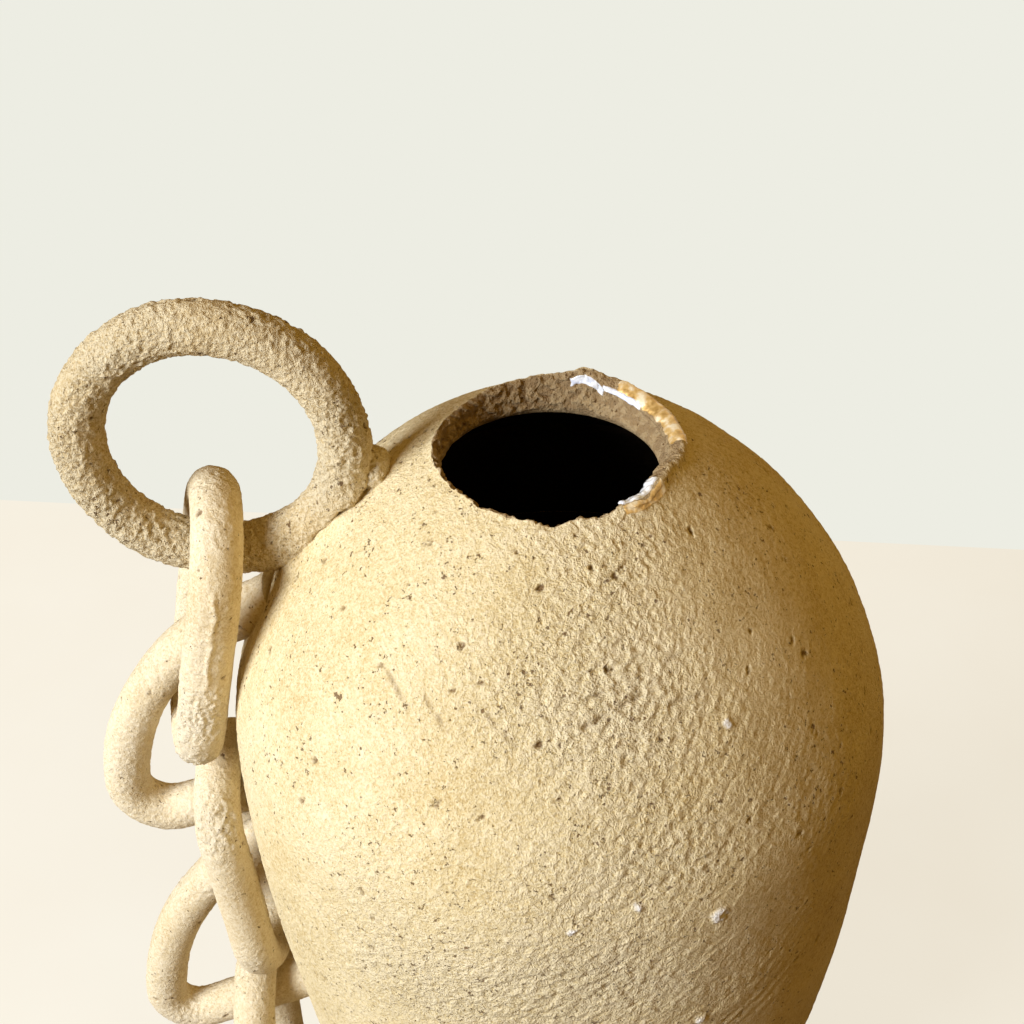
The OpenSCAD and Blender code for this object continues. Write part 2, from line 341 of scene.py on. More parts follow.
# %% Lustre and glaze
def lustre_material():
    """Worn metallic gold: colour, metal and roughness vary with noise 2.5 mm wide, with the clay's grain as
    bump. The palest, cream end of the colour is painted highlight; the rest is the lustre's own uneven
    colour."""
    material, tree = blank_material("gold_lustre_on_clay")
    place = node(tree, "TexCoord")["Object"]
    wear_and_sheen = node(tree, "TexNoise", Vector=place, Scale=per_metre(2.5), Detail=4.0)["Fac"]
    grain = node(tree, "TexNoise", Vector=place, Scale=per_metre(0.9), Detail=3.0)["Fac"]
    # The cream end of these stops is a painted highlight on the gold; the deeper stops are its own uneven
    # colour.
    stops = [(0.34, "#A8803F"), (0.48, "#D4AC68"), (0.64, "#EFDDB8")]
    colour = node(tree, "ValToRGB", {"stops": stops}, Fac=wear_and_sheen)[0]
    gloss = node(tree, "MapRange", Value=wear_and_sheen, To_Min=0.55, To_Max=0.35)[0]
    metal = node(tree, "MapRange", Value=wear_and_sheen, From_Min=0.3, From_Max=0.6, To_Min=0.55,
                 To_Max=0.25)[0]
    bump = node(tree, "Bump", Height=grain, Strength=1.0, Distance=0.2 * MM)
    shader = node(tree, "BsdfPrincipled", Base_Color=colour, Metallic=metal, Roughness=gloss,
                  Normal=bump["Normal"])
    node(tree, "OutputMaterial", Surface=shader["BSDF"])
    return material


def glaze_material():
    """White glass over clay: a cool white with faint cream clouds 4 mm wide and a clear coat."""
    material, tree = blank_material("white_stoneware_glaze")
    place = node(tree, "TexCoord")["Object"]
    cloud = node(tree, "TexNoise", Vector=place, Scale=per_metre(4), Detail=2.0)["Fac"]
    stops = [(0.35, "#D9DBE2"), (0.65, "#F4F1E8")]
    colour = node(tree, "ValToRGB", {"stops": stops}, Fac=cloud)[0]
    bump = node(tree, "Bump", Height=cloud, Strength=1.0, Distance=0.3 * MM)
    shader = node(tree, "BsdfPrincipled", Base_Color=colour, Roughness=0.14, IOR=1.52,
                  Coat_Weight=0.6, Coat_Roughness=0.06, Normal=bump["Normal"])
    node(tree, "OutputMaterial", Surface=shader["BSDF"])
    return material


gold_lustre, white_glaze = lustre_material(), glaze_material()
print("lip materials:", gold_lustre.name, white_glaze.name)

# %% [markdown]
# ## The jar's outline
# The frame gives the belly's radius and height, the foot, the tiers' edges and the lip. Above and below
# the belly the outline follows two curves of the same kind, r to a power plus z to a power, which is an
# ellipse at the power 2 and leaner below it.

# %% Sizes and outline
belly_r = round(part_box("wall_tier_3")[1].x / MM, 1)
belly_z = round(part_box("wall_tier_3")[1].z / MM, 1)
foot_t = round(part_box("foot_slab")[1].z / MM, 1)
lip_seat_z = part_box("lip_coil")[0].z / MM
lip_top_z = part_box("lip_coil")[1].z / MM
lip_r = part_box("lip_coil")[1].x / MM
lip_d, wall_t = 5.6, 6.0
mouth_r = lip_r - lip_d
shoulder_rise, shoulder_power = 76.4, 1.67
taper_depth, taper_power = 244.0, 1.74
crease_depth, crease_rise, crease_width = 0.35, 1.5, 7


def wall_r(z):
    """Outer radius at height z: the belly's radius times (1 - (height/rise)^power)^(1/power), less a low
    hill over the belly, which rounds the crease between the two curves."""
    h = np.asarray(z, float) - belly_z
    up = np.clip(1 - np.clip(h / shoulder_rise, 0, 1) ** shoulder_power, 0, 1) ** (1 / shoulder_power)
    down = (1 - np.clip(-h / taper_depth, 0, 1) ** taper_power) ** (1 / taper_power)
    return belly_r * np.where(h > 0, up, down) - crease_depth * hill(h, crease_rise, crease_width)


def shoulder_z(r):
    """Height at which the shoulder is as wide as r: the same curve solved for the height."""
    share = np.clip(np.asarray(r, float) / belly_r, 0, 1) ** shoulder_power
    return belly_z + shoulder_rise * (1 - share) ** (1 / shoulder_power)


def inner_r(z):
    """Inner radius at height z: the wall's thickness less below the belly, and above it the same curve with
    both its sizes less by the wall's thickness."""
    h = np.asarray(z, float) - belly_z
    rise = np.clip(1 - np.clip(h / (shoulder_rise - wall_t), 0, 1) ** shoulder_power, 0, 1)
    return np.where(h > 0, (belly_r - wall_t) * rise ** (1 / shoulder_power), wall_r(z) - wall_t)


def outline(low, high, rows, radius):
    """Points of an outline from height low to high, evenly spaced along it, with one more step past each
    end. Each has a radius, a height and the two parts of the outward normal."""
    z = np.linspace(low - 2, high + 2, 4000)
    r = radius(z)
    s = np.concatenate([[0], np.cumsum(np.hypot(np.diff(r), np.diff(z)))])
    first, last = np.interp([low, high], z, s)
    step = (last - first) / (rows - 1)
    even = np.linspace(first - step, last + step, rows + 2)
    slope_r, slope_z = np.gradient(r, s), np.gradient(z, s)
    return np.stack([np.interp(even, s, part) for part in (r, z, slope_z, -slope_r)], -1)


def turned(radius, height, angle):
    """Points of a turned surface: radius and height at an angle, counted from the front towards +X."""
    return np.stack(np.broadcast_arrays(radius * np.sin(angle), -radius * np.cos(angle), height), -1)


steps_round = 900
angle = np.linspace(-math.pi, math.pi, steps_round, endpoint=False)[:, None]
print(f"belly radius {belly_r} at {belly_z}, mouth radius {mouth_r:.1f}, "
      f"lip {lip_seat_z:.1f} to {lip_top_z:.1f}")

# %% [markdown]
# ## Relief of the scraped wall
# The potter smoothed the shoulder, dragged a serrated scraper upwards to the right across the front, and
# left the middle and the lower front coarse. So relief is a sum of layers: slow lumps from the hands,
# crumbs of grit, scrapes, pits, and a few pale chips that stand proud. Clay is smeared up against the
# ring's seat. Near the chain the lumps fade out, so that the loose links keep their room.

# %% Marks on the wall
# Angles are in radians from the front, heights and sizes in mm. A pit or chip has its angle, height and
# radius, and a drag the angle and height of both its ends. A coarse patch has its angle and half width, then
# its height over the belly and half height.
coarse_patches = ((0.1, 0.45, 49, 15), (0.3, 0.4, 18, 9), (-0.2, 0.6, -20, 16))
drag_marks = [(-0.65, 223, -0.52, 219), (-0.48, 222, -0.37, 218), (-0.24, 221.5, -0.14, 217.5),
              (0.09, 220.5, 0.31, 224), (0.11, 224.5, 0.50, 228), (0.25, 221, 0.52, 221.5)]
pit_marks = [(-0.06, 218, 1.1), (-0.38, 224, 0.7), (-0.09, 239, 0.8), (1.0, 217, 0.8), (0.92, 190.5, 0.8)]
chip_marks = [(0.44, 180, 2.2), (0.21, 187, 1.1), (0.58, 215.5, 1.1), (0.41, 146.5, 1.4), (0.03, 182.5, 0.9)]


def spots(p, marks):
    """1 inside and 0 outside ragged spots, each given by its angle from the front, its height and radius."""
    uneven = p + 0.7 * np.stack([noise(p, 1.3, 16), noise(p, 1.3, 17), noise(p, 1.3, 18)], -1)
    inside = np.zeros(p.shape[:-1])
    for side, z, radius in marks:
        d = np.linalg.norm(uneven - turned(wall_r(z), z, side), axis=-1)
        inside = np.maximum(inside, ramp(-d, -radius, -0.6 * radius))
    return inside


def lines(p, marks, width):
    """1 on and 0 beside straight marks, each given by the angle and height of both its ends: a hill over the
    distance to the nearest point of the mark."""
    on = np.zeros(p.shape[:-1])
    for side_0, z_0, side_1, z_1 in marks:
        start, end = turned(wall_r(z_0), z_0, side_0), turned(wall_r(z_1), z_1, side_1)
        share = np.clip((p - start) @ (end - start) / np.dot(end - start, end - start), 0, 1)
        d = np.linalg.norm(p - start - share[..., None] * (end - start), axis=-1)
        on = np.maximum(on, hill(d, 0, width))
    return on


print("marks:", len(drag_marks), "drags,", len(pit_marks), "large pits,", len(chip_marks), "chips")

# %% Clay smeared against the ring
coil_r = 5.7
ring_low, ring_high = (np.array(corner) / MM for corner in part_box("shoulder_ring"))
ring_r = (ring_high[2] - ring_low[2]) / 2 - coil_r
ring_centre = np.array([ring_low[0] + coil_r + ring_r, 0, ring_low[2] + coil_r + ring_r])
smear_height, smear_width = 1.7, 3.2
links_from, links_full = 62, 67
crack_from, crack_full = 231, 238


def ring_smear(p):
    """Height in mm of the clay smeared up against the ring: a hill over the distance from the ring's coil.
    It fades short of the links and near the top of the seat, where the joint has cracked open."""
    from_ring = np.hypot(p[..., 0] - ring_centre[0], p[..., 2] - ring_centre[2]) - ring_r
    d = np.maximum(np.hypot(from_ring, p[..., 1]), coil_r)
    fade = 1 - ramp(np.hypot(p[..., 0], p[..., 1]), links_from, links_full)
    fade = fade * (1 - ramp(p[..., 2], crack_from, crack_full))
    return smear_height * hill(d, coil_r, smear_width) * fade * (0.8 + 0.5 * noise(p, 5, 50))


print("ring radius", round(float(ring_r), 2), "mm, centre", ring_centre.round(1))

# %% Wall relief
scrape_rise = math.radians(33)
scrape_length, scrape_width = 16.0, 1.3


def wall_relief(p, angle):
    """Offset in mm along the surface's normal, and the fields rough, pit, chip and raw, for points p at an
    angle from the front. Each layer is named in the text above."""
    z = p[..., 2]
    side = np.arctan2(np.sin(angle), np.cos(angle)) + 0 * z
    chain = hill(np.abs(side + math.pi / 2), 0, 0.55)
    lumps = 0.75 * noise(p, 52, 1) + 0.35 * noise(p, 23, 2) + 0.14 * noise(p, 9, 3)
    lumps = lumps * (1 - 0.85 * chain) - 0.3 * chain
    coarse = sum(hill(side, at, wide) * hill(z, belly_z + rise, tall)
                 for at, wide, rise, tall in coarse_patches)
    rough = 0.36 + 0.3 * noise(p, 30, 4) + 0.65 * coarse
    rough = rough * (1 - 0.45 * hill(side, 1.0, 0.45)) * (1 - 0.35 * hill(side, -0.9, 0.5))
    rough = np.clip(rough, 0.10, 1.1)
    crumbs = ramp(noise(shaken(p, 0.7, 1.3, 10), 1.8, 5), -0.12, 0.25) - 0.5
    grit = 0.55 * crumbs + 0.5 * noise(p, 1.2, 6) + 0.1 * noise(p, 4.0, 11)
    along = belly_r * side * math.cos(scrape_rise) + z * math.sin(scrape_rise)
    across = z * math.cos(scrape_rise) - belly_r * side * math.sin(scrape_rise)
    drawn = np.stack([along / scrape_length * scrape_width, across, 0 * z + 7.3], -1)
    scraped = hill(side, 0.5, 0.6) * hill(z, belly_z - 5, 55) * np.clip(0.4 + noise(p, 26, 12), 0, 1)
    scrape = np.minimum(noise(drawn, scrape_width, 7), 0.1) * scraped
    d, own = nearest_point(shaken(p, 1.1, 1.1, 13), 5.0, 8)
    pit = np.where(own > 0.84, ramp(-d, -0.95, -0.5), 0)
    pit = np.maximum(pit, spots(p, pit_marks))
    drag = lines(p, drag_marks, 0.5) * np.clip(0.55 + 0.8 * noise(p, 2.2, 19), 0, 1)
    chip = spots(p, chip_marks)
    offset = lumps + 0.5 * grit * rough + 0.4 * scrape - 0.6 * pit - 0.55 * drag + 0.5 * chip
    offset = offset + ring_smear(p)
    # The pit field, which the material fills with painted shade, also takes the dragged grooves.
    return offset, {"rough": rough, "pit": np.maximum(pit, 0.8 * drag), "chip": chip, "raw": 0 * pit}


belly_front = turned(wall_r(belly_z), belly_z, np.zeros((1, 1)))
print("relief at the belly's front:", round(float(wall_relief(belly_front, 0)[0][0, 0]), 2), "mm")

# %% [markdown]
# ## The tiers of the wall and shoulder
# A coiled jar is raised in tiers, and each dries a little before the next goes on. Each tier is a closed
# ring of clay: the outside goes up, the top edge goes in, the inside comes down. The outline is one closed
# loop of points, and turning it round the axis gives a grid. Only the outside gets the relief, because the
# inside was wiped smooth, and there its near-black colour is painted shade.

# %% Turn a tier
collar_z, inside_rows = 239.0, 8


def turned_outside(rows_of_outline):
    """The outside with its relief: each point of the outline is turned and moved along its normal."""
    r, z, normal_r, normal_z = (rows_of_outline[None, :, k] for k in range(4))
    offset, fields = wall_relief(turned(r, z, angle), angle)
    return turned(r + offset * normal_r, z + offset * normal_z, angle), fields


def wall_tier(name, low, high, rows):
    """One tier of the jar between two heights. Its normals are worked out with a row past each end, so that
    they agree with the next tier's."""
    out, fields = turned_outside(outline(low, high, rows, wall_r))
    normals = grid_normals(out)[:, 1:-1]
    inside = outline(low, min(high, collar_z), inside_rows, inner_r)[-2:0:-1]
    back = turned(inside[None, :, 0], inside[None, :, 1], angle)
    grid = np.concatenate([out[:, 1:-1], back], 1)
    blank = np.zeros(back.shape[:2])
    fields = {key: np.concatenate([value[:, 1:-1], blank], 1) for key, value in fields.items()}
    normals = np.concatenate([normals, np.zeros_like(back)], 1)
    add_piece(name, grid, "jar", [name], [body_clay, inside_shade_clay], fields=fields, normals=normals,
              second_from=rows)


tier_rows = {"wall_tier_1": 84, "wall_tier_2": 84, "wall_tier_3": 98,
             "shoulder_tier_1": 98, "shoulder_tier_2": 98}
for name, rows in tier_rows.items():
    low, high = (corner.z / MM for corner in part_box(name))
    wall_tier(name, low, high, rows)

# %% [markdown]
# ### The foot slab
# The jar stands on a round slab. Its edge goes on with the wall's relief, and its underside is flat. The
# loop of its section goes up the edge, in over the top to the middle, and out again underneath.

# %% Foot
foot_rows, disc_rows, settle_mm = 16, 8, 1.5
foot_edge = outline(0, foot_t, foot_rows, wall_r)
foot_out, foot_fields = turned_outside(foot_edge)
settle = ramp(foot_edge[:, 1], 0, settle_mm)[None, :, None]
foot_out = settle * foot_out + (1 - settle) * turned(foot_edge[None, :, 0], foot_edge[None, :, 1], angle)
foot_out = foot_out[:, 1:-1]
share = np.linspace(1, 0, disc_rows)[None, :, None]
top_disc = foot_out[:, -1:] * share * [1, 1, 0] + [0, 0, foot_t]
under_disc = foot_out[:, :1] * share[:, ::-1] * [1, 1, 0]
foot_grid = np.concatenate([foot_out, top_disc[:, 1:], under_disc[:, :-1]], 1)
blank = np.zeros((steps_round, foot_grid.shape[1] - foot_rows))
foot_fields = {key: np.concatenate([value[:, 1:-1], blank], 1) for key, value in foot_fields.items()}
add_piece("foot_slab", foot_grid, "jar", ["foot_slab"], [body_clay], fields=foot_fields)

# %% [markdown]
# ## The torn lip
# The shoulder runs on up to the mouth and ends in a raw edge. On the left and front it is thin and torn, at
# the back it rises to a peak, and on the right a thin bead carries the gold. The lip's outside is the
# shoulder's own surface with its own relief, so no seam shows. Then come a round edge, the raw inner wall
# and a short return into the clay, all in one section that changes round the mouth.

# %% Lip edge
# Each torn notch has its depth, its turn from +X towards +Y and its half width in radians.
lip_turn = np.arctan2(-np.cos(angle), np.sin(angle))
lip_notches = ((0.8, -1.60, 0.09), (0.6, -1.2, 0.05), (0.5, -2.2, 0.08))


def lip_shape():
    """Height of the crest over the shoulder's curve, edge radius and strength of the bead, by the turn from
    +X towards +Y: sums of hills and noise. The edge runs along the middle of the lip coil."""
    round_mouth = np.concatenate([np.cos(lip_turn), np.sin(lip_turn), 0 * lip_turn], -1)[:, None] * mouth_r
    back = hill(lip_turn, 1.5, 0.65)
    left = hill(np.abs(lip_turn), math.pi, 0.35)
    peak = hill(lip_turn, 1.28, 0.13)
    notch = sum(deep * hill(lip_turn, turn, width) for deep, turn, width in lip_notches)
    ragged = 0.35 * noise(round_mouth, 12, 21) + 0.3 * noise(round_mouth, 3.6, 23)
    ragged = ragged + 0.25 * noise(round_mouth, 1.5, 20)
    corner = hill(lip_turn, -0.5, 0.3)
    front = hill(lip_turn, -1.7, 0.4)
    crest = 0.1 + 1.5 * back + 1.6 * peak + 0.5 * left + 0.5 * corner - 0.7 * notch + ragged
    edge = mouth_r + lip_d / 2 - 0.2 + 0.5 * left - 1.5 * corner + 0.6 * front + 0.6 * notch
    edge = edge + 0.3 * noise(round_mouth, 16, 22) + 0.3 * noise(round_mouth, 3.5, 24)
    bead = ramp(lip_turn, -1.15, -0.9) * (1 - ramp(lip_turn, 1.05, 1.25))
    return crest, edge, bead


crest, edge_r, bead = lip_shape()
print("lip edge radius from", round(float(edge_r.min()), 1), "to", round(float(edge_r.max()), 1), "mm")

# %% Lip section
outer_rows, edge_rows, inner_rows, return_rows = 18, 20, 32, 6
edge_drop, throat_flare, return_drop = 1.0, 1.8, 1.5
edge_round = 0.6 + bead
q = np.linspace(0, 1, outer_rows)[None, :]
outer_r = lip_r + (edge_r + edge_round - lip_r) * q
crest_z = shoulder_z(edge_r + edge_round) + crest
outer_z = shoulder_z(outer_r) + crest * q * q
bend = np.linspace(0, math.pi, edge_rows + 1)[None, 1:]
edge_ring_r = edge_r + edge_round * np.cos(bend)
edge_ring_z = crest_z - 0.5 * (1 - np.cos(bend)) + 0.6 * edge_round * np.sin(bend)
t = np.linspace(0, 1, inner_rows + 1)[None, 1:]
under_bead = edge_r - edge_round + bead
throat_r = mouth_r - 0.2 - 1.7 * np.cos(lip_turn)
flare = throat_flare * np.clip(t - 0.6, 0, None) ** 2 / 0.16
inner_wall_r = under_bead + (throat_r - under_bead) * t + flare
inner_wall_z = crest_z - edge_drop + (collar_z - crest_z + edge_drop) * t
t = np.linspace(0, 1, return_rows + 1)[None, 1:]
return_r = throat_r + throat_flare + (lip_r - throat_r - throat_flare) * t
return_z = collar_z - return_drop * t + 0 * edge_r
lip_section_r = np.concatenate([outer_r, edge_ring_r, inner_wall_r, return_r], 1)
lip_section_z = np.concatenate([outer_z, edge_ring_z, inner_wall_z, return_z], 1)
print("lip crest from", round(float(crest_z.min()), 1), "to", round(float(crest_z.max()), 1), "mm")

# %% Lip surface
lip_smooth = turned(lip_section_r, lip_section_z, angle)
lip_normal = grid_normals(lip_smooth)
place = np.arange(lip_smooth.shape[1])[None, :]
raw = ramp(place, outer_rows - 2, outer_rows + 8) + 0 * lip_smooth[..., 0]
outer_offset, lip_fields = wall_relief(lip_smooth, angle)
crumbs = ramp(noise(shaken(lip_smooth, 0.6, 1.1, 26), 1.9, 25), -0.08, 0.2) - 0.5
torn_offset = 0.5 * crumbs + 0.4 * noise(lip_smooth, 1.2, 28) + 0.3 * noise(lip_smooth, 3.0, 27)
bead_offset = 0.6 * bead * hill(place, outer_rows + 2, 9) * ramp(place, 1, 8)
gilded = bead * ramp(lip_turn, -0.05, 0.1)
torn_offset = 0.9 * torn_offset * raw * (1 - 0.5 * bead - 0.38 * gilded)
lip_offset = outer_offset * (1 - raw) + torn_offset + bead_offset
inner_end = outer_rows + edge_rows + inner_rows
hidden = ramp(place, inner_end - 16, inner_end)
lip_grid = lip_smooth + (lip_offset * (1 - hidden))[..., None] * lip_normal
lip_normals = grid_normals(lip_grid)
lip_fields["rough"] = np.maximum(lip_fields["rough"], raw)
# The hollows between the torn lip's crumbs join the pit field, which gives them painted shade.
lip_fields["pit"] = lip_fields["pit"] * (1 - raw) + 0.4 * raw * ramp(-crumbs, 0.3, 0.5)
lip_fields["chip"] = 0 * raw
lip_fields["raw"] = 0.85 * raw
add_piece("lip_coil", lip_grid, "jar", ["lip_coil"], [body_clay], fields=lip_fields,
          normals=lip_normals)

# %% [markdown]
# ### Gold and glaze on the lip
# Both are thin skins, so each is a patch of the lip's own grid, lifted a little along its normals and
# closed by a second sheet under it. The lift turns into a dip at an uneven border, where the skin sinks
# into the clay, so its outline is ragged.

# %% Skins
sink_mm = 0.3


def lip_skin(name, turns, columns, thick, seed, slot, material, replaced):
    """A closed skin over part of the lip's grid. The outer sheet is lifted by thick where a dome, 1 inside
    and 0 at the uneven border, is 1, and sinks by sink_mm where it is 0. The inner sheet lies that deep."""
    wanted = np.where((lip_turn[:, 0] > turns[0]) & (lip_turn[:, 0] < turns[1]))[0]
    first = wanted[np.argmax(np.diff(np.concatenate([[wanted[-1] - steps_round], wanted])))]
    rows = (first + np.arange(len(wanted))) % steps_round
    patch = lip_grid[rows][:, columns[0]:columns[1]]
    normal = lip_normals[rows][:, columns[0]:columns[1]]
    u = np.linspace(0, 1, patch.shape[0])[:, None]
    v = np.linspace(0, 1, patch.shape[1])[None, :]
    border = np.minimum(np.minimum(u, 1 - u) * 7, np.minimum(v, 1 - v) * 3)
    dome = ramp(border + 0.3 * noise(patch, 3.0, seed) + 0.15 * noise(patch, 1.2, seed + 1), 0.2, 0.5)
    dome = dome * ramp(border, 0, 0.15)
    lift = dome * (thick + sink_mm) - sink_mm
    outer = patch + lift[..., None] * normal
    under = patch - sink_mm * normal
    grid = np.concatenate([outer, under[:, ::-1]], 1)
    caps = [grid[k:k + 1] * 0.5 + grid[k:k + 1, ::-1] * 0.5 for k in (0, -1)]
    grid = np.concatenate([caps[0], grid, caps[1]])
    add_piece(name, grid, "jar", replaced, [material], wrap=(False, True))


# Each skin has its turns and columns on the lip's grid, its thickness in mm, a seed, its finish and the
# frame's piece that it stands for, if there is one.
edge_end = outer_rows + edge_rows
gold, white = ("gold_lustre", gold_lustre), ("white_glaze", white_glaze)
skins = (("lip_gilding", (-0.02, 1.06), (6, edge_end), 0.12, 31, *gold, ["lip_gilding"]),
         ("lip_glaze", (-1.06, -0.56), (outer_rows + 3, edge_end + 4), 0.3, 33, *white, ["lip_glaze"]),
         ("glaze_line", (0.66, 1.16), (edge_end - 8, edge_end + 1), 0.25, 35, *white, []),
         ("glaze_chip", (1.10, 1.46), (edge_end - 3, edge_end + 8), 0.2, 37, *white, []),
         ("gold_tail", (-1.08, -0.56), (5, outer_rows + 7), 0.12, 39, *gold, []))
for skin in skins:
    lip_skin(*skin)

# %% [markdown]
# ## Coils
# The ring, ears and links are rolled coils. A coil is a round section carried along a path: at each point
# of the path two directions square to it give the section's plane. All paths here lie in a plane, so one
# of those directions is the plane's own normal. Hands leave a coil uneven, so its radius swells slowly,
# and the grit and pits are added on top.

# %% Carry a section along a path
def sections(path, plane_normal, steps_across, closed):
    """Unit directions round a path, rows along it: the cosine of the angle across times the direction in the
    plane plus its sine times plane_normal."""
    if closed:
        way = np.roll(path, -1, 0) - np.roll(path, 1, 0)
    else:
        way = np.gradient(path, axis=0)
    way = way / np.linalg.norm(way, axis=1, keepdims=True)
    side = np.cross(way, plane_normal)
    across = np.linspace(0, 2 * math.pi, steps_across, endpoint=False)
    return np.cos(across)[None, :, None] * side[:, None] + np.sin(across)[None, :, None] * plane_normal


def coil_relief(p, seed, coarse):
    """Offset and fields of a rolled coil: slow swelling, crumbs and grit as strong as coarse and its patches
    say, and pits. coarse is one number or one for each point."""
    swell = 0.26 * noise(p, 24, seed) + 0.16 * noise(p, 11, seed + 1)
    patch = np.clip(coarse + 0.4 * noise(p, 13, seed + 2), 0.06, 1.2)
    crumbs = ramp(noise(shaken(p, 0.6, 1.2, seed + 10), 1.7, seed + 3), -0.12, 0.25) - 0.5
    grit = 0.45 * crumbs + 0.45 * noise(p, 1.1, seed + 4) + 0.15 * noise(p, 3.4, seed + 6)
    d, own = nearest_point(shaken(p, 0.9, 1.1, seed + 12), 5.0, seed + 8)
    pit = np.where(own > 0.80, ramp(-d, -0.9, -0.45), 0)
    offset = swell + 0.7 * grit * patch - 0.5 * pit - 0.12
    # The pit field makes the material paint shade into these sunk pits.
    return offset, {"rough": patch, "pit": pit, "chip": 0 * pit, "raw": 0 * pit}


print("coils are", 2 * coil_r, "mm thick")

# %% [markdown]
# ## The shoulder ring
# A thick ring, the coarsest piece. It stands square on the shoulder, a little sunk in. The clay at its seat
# was pressed outwards, so the coil swells where it comes close to the wall.

# %% Ring
ring_steps, ring_across = 700, 132
ring_turn = np.linspace(0, 2 * math.pi, ring_steps, endpoint=False)
flat = np.array([0.0, 1.0, 0.0])
ring_path = ring_centre + ring_r * np.stack([np.cos(ring_turn), 0 * ring_turn, np.sin(ring_turn)], -1)
ring_way = sections(ring_path, flat, ring_across, True)
ring_p = ring_path[:, None] + coil_r * ring_way
ring_offset, ring_fields = coil_relief(ring_p, 40, 0.8)
seat = wall_r(ring_p[..., 2]) - np.hypot(ring_p[..., 0], ring_p[..., 1])
crack = hill(seat, -1.2, 0.8) * hill(ring_turn, 5.75, 0.3)[:, None]
crack = crack * np.clip(0.6 + noise(ring_p, 2.5, 48), 0, 1)
ring_offset = ring_offset + 1.1 * ramp(seat, -7, 1) * (0.8 + 0.6 * noise(ring_p, 6, 49)) - 1.2 * crack
# The crack joins the pit field, which gives the gap painted shade.
ring_fields["pit"] = np.maximum(ring_fields["pit"], crack)
ring_grid = ring_path[:, None] + (coil_r + ring_offset)[..., None] * ring_way
add_piece("shoulder_ring", ring_grid, "jar", ["shoulder_ring"], [ring_clay], fields=ring_fields)

# %% [markdown]
# ### The wad behind the ring
# A lump of clay was pressed in behind the ring's upper joint to hold it. It is a squashed ball as large as
# the frame's piece, from pole to pole and round, with the coils' own relief and slower dents from fingers.

# %% Wad
wad_steps_up, wad_steps_round = 70, 140
wad_low, wad_high = (np.array(corner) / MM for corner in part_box("ring_wad"))
wad_half = (wad_high - wad_low) / 2
wad_up = np.linspace(-math.pi / 2, math.pi / 2, wad_steps_up)[None, :]
wad_round = np.linspace(0, 2 * math.pi, wad_steps_round, endpoint=False)[:, None]
wad_parts = (np.cos(wad_up) * np.cos(wad_round), np.cos(wad_up) * np.sin(wad_round), np.sin(wad_up))
wad_way = np.stack(np.broadcast_arrays(*wad_parts), -1)
wad_p = (wad_low + wad_high) / 2 + wad_way * wad_half
wad_offset, wad_fields = coil_relief(wad_p, 60, 1.0)
wad_offset = wad_offset + 0.9 * noise(wad_p, 6, 69) - 0.9
wad_grid = wad_p + wad_offset[..., None] * wad_way
add_piece("ring_wad", wad_grid, "jar", ["ring_wad"], [ring_clay], wrap=(True, False),
          fields=wad_fields)

# %% [markdown]
# ## The drooping ears
# An ear leaves the wall, sweeps down in a slow curve, turns tightly and comes straight back to the wall.
# The loose link below hangs on that straight run, so the joint's own place and axis give the run. From
# there the path is walked backwards: the tight bend, the slow curve, and a short root.

# %% Ear paths
spacing, run_past, root_l = 0.3, 40, 12


def ear_path(joint, hang, bend_r, bend_turn, arm_r, arm_turn):
    """Points from the root to the end of the straight run, in the plane y = 0. Each arc is its centre plus
    its radius times a unit vector that turns at a steady rate."""
    at = np.array(joint["pos_m"])[[0, 2]] / MM
    heading = math.atan2(joint["axis"][2], joint["axis"][0])
    way = np.array([math.cos(heading), math.sin(heading)])
    place = at - hang * way
    run = place + np.arange(spacing, hang + run_past, spacing)[:, None] * way
    stretches = [run]
    for radius, turn in ((bend_r, math.radians(bend_turn)), (arm_r, math.radians(arm_turn))):
        back = np.arange(heading, heading - turn, -spacing / radius)
        centre = place + radius * np.array([-math.sin(heading), math.cos(heading)])
        stretches.insert(0, (centre + radius * np.stack([np.sin(back), -np.cos(back)], -1))[::-1])
        heading = heading - turn
        place = centre + radius * np.array([math.sin(heading), -math.cos(heading)])
    way = np.array([math.cos(heading), math.sin(heading)])
    root = place - np.arange(root_l, spacing / 2, -spacing)[:, None] * way
    points = np.concatenate([root, *stretches])
    return np.stack([points[:, 0], 0 * points[:, 0], points[:, 1]], -1)


upper_ear_path = ear_path(joints["middle_swing"], hang=13, bend_r=9.5, bend_turn=115, arm_r=70, arm_turn=58)
lower_ear_path = ear_path(joints["lower_swing"], hang=17, bend_r=8, bend_turn=121, arm_r=90, arm_turn=48)
print("points on the ears' paths:", len(upper_ear_path), "and", len(lower_ear_path))

# %% Ears
ear_across, end_rows, deep_mm, cover_mm = 108, 8, 1.5, 1.0


